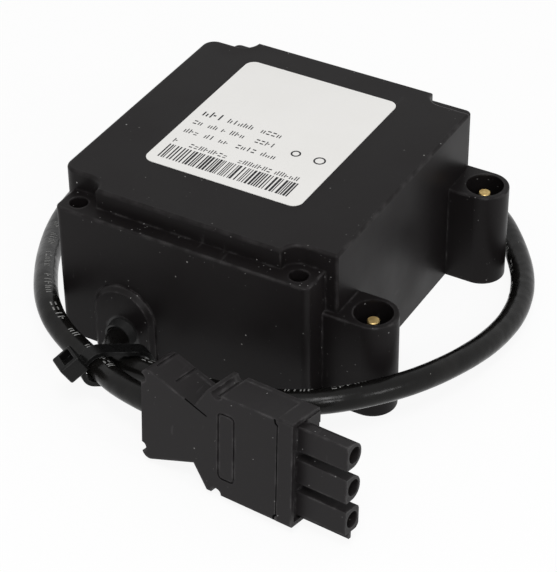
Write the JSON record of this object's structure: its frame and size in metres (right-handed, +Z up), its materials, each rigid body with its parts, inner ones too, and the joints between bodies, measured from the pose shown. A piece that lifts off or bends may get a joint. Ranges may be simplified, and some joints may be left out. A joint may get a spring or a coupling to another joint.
{
  "type": "ignition transformer",
  "caption": "Potted ignition transformer in a black moulded case, with recessed high-voltage pins, a mains cord with a cable tie and a flat three-pole plug.",
  "frame": {"origin": "centre of the four mounting holes on the base plane", "axes": "+Z up, out of the labelled top; +X towards the side with the high-voltage sockets; -Y towards the side where the mains cord leaves"},
  "size_m": [0.1513, 0.1661, 0.0496],
  "materials": {
    "case_black": "satin",
    "potting_resin": "satin",
    "label_white": "satin",
    "cord_black": "satin",
    "tie_black": "satin",
    "grommet_black": "matte",
    "plug_black": "satin",
    "brass": "satin",
    "core_steel": "satin",
    "zinc_steel": "satin",
    "bobbin_plastic": "satin",
    "copper_wire": "gloss",
    "pressboard": "matte",
    "wire_red": "satin",
    "wire_brown": "satin",
    "wire_blue": "satin",
    "wire_green_yellow": "satin"
  },
  "bodies": {
    "root": {"housing": "case_black", "potting_compound": "potting_resin", "label": "label_white", "cord": "cord_black", "cable_tie": "tie_black", "cord_grommet": "grommet_black", "plug_contact_block": "plug_black", "plug_cover": "plug_black", "plug_lid": "plug_black", "ht_pin_front": "brass", "ht_pin_rear": "brass", "core_u": "core_steel", "core_i": "core_steel", "core_strap": "zinc_steel", "magnetic_shunt": "core_steel", "shunt_spacers": "pressboard", "primary_bobbin": "bobbin_plastic", "primary_winding": "copper_wire", "primary_pins": "brass", "secondary_bobbin_front": "bobbin_plastic", "secondary_winding_front": "copper_wire", "secondary_bobbin_rear": "bobbin_plastic", "secondary_winding_rear": "copper_wire", "ht_lead_front": "wire_red", "ht_lead_rear": "wire_red", "live_lead": "wire_brown", "neutral_lead": "wire_blue", "earth_lead": "wire_green_yellow", "earth_tag": "zinc_steel", "earth_rivet": "zinc_steel", "plug_contact_earth": "brass", "plug_contact_middle": "brass", "plug_contact_lower": "brass", "plug_terminal_screws": "zinc_steel", "plug_lead_earth": "wire_green_yellow", "plug_lead_middle": "wire_blue", "plug_lead_lower": "wire_brown", "plug_cord_clamp": "plug_black", "plug_clamp_screws": "zinc_steel"}
  },
  "joints": []
}
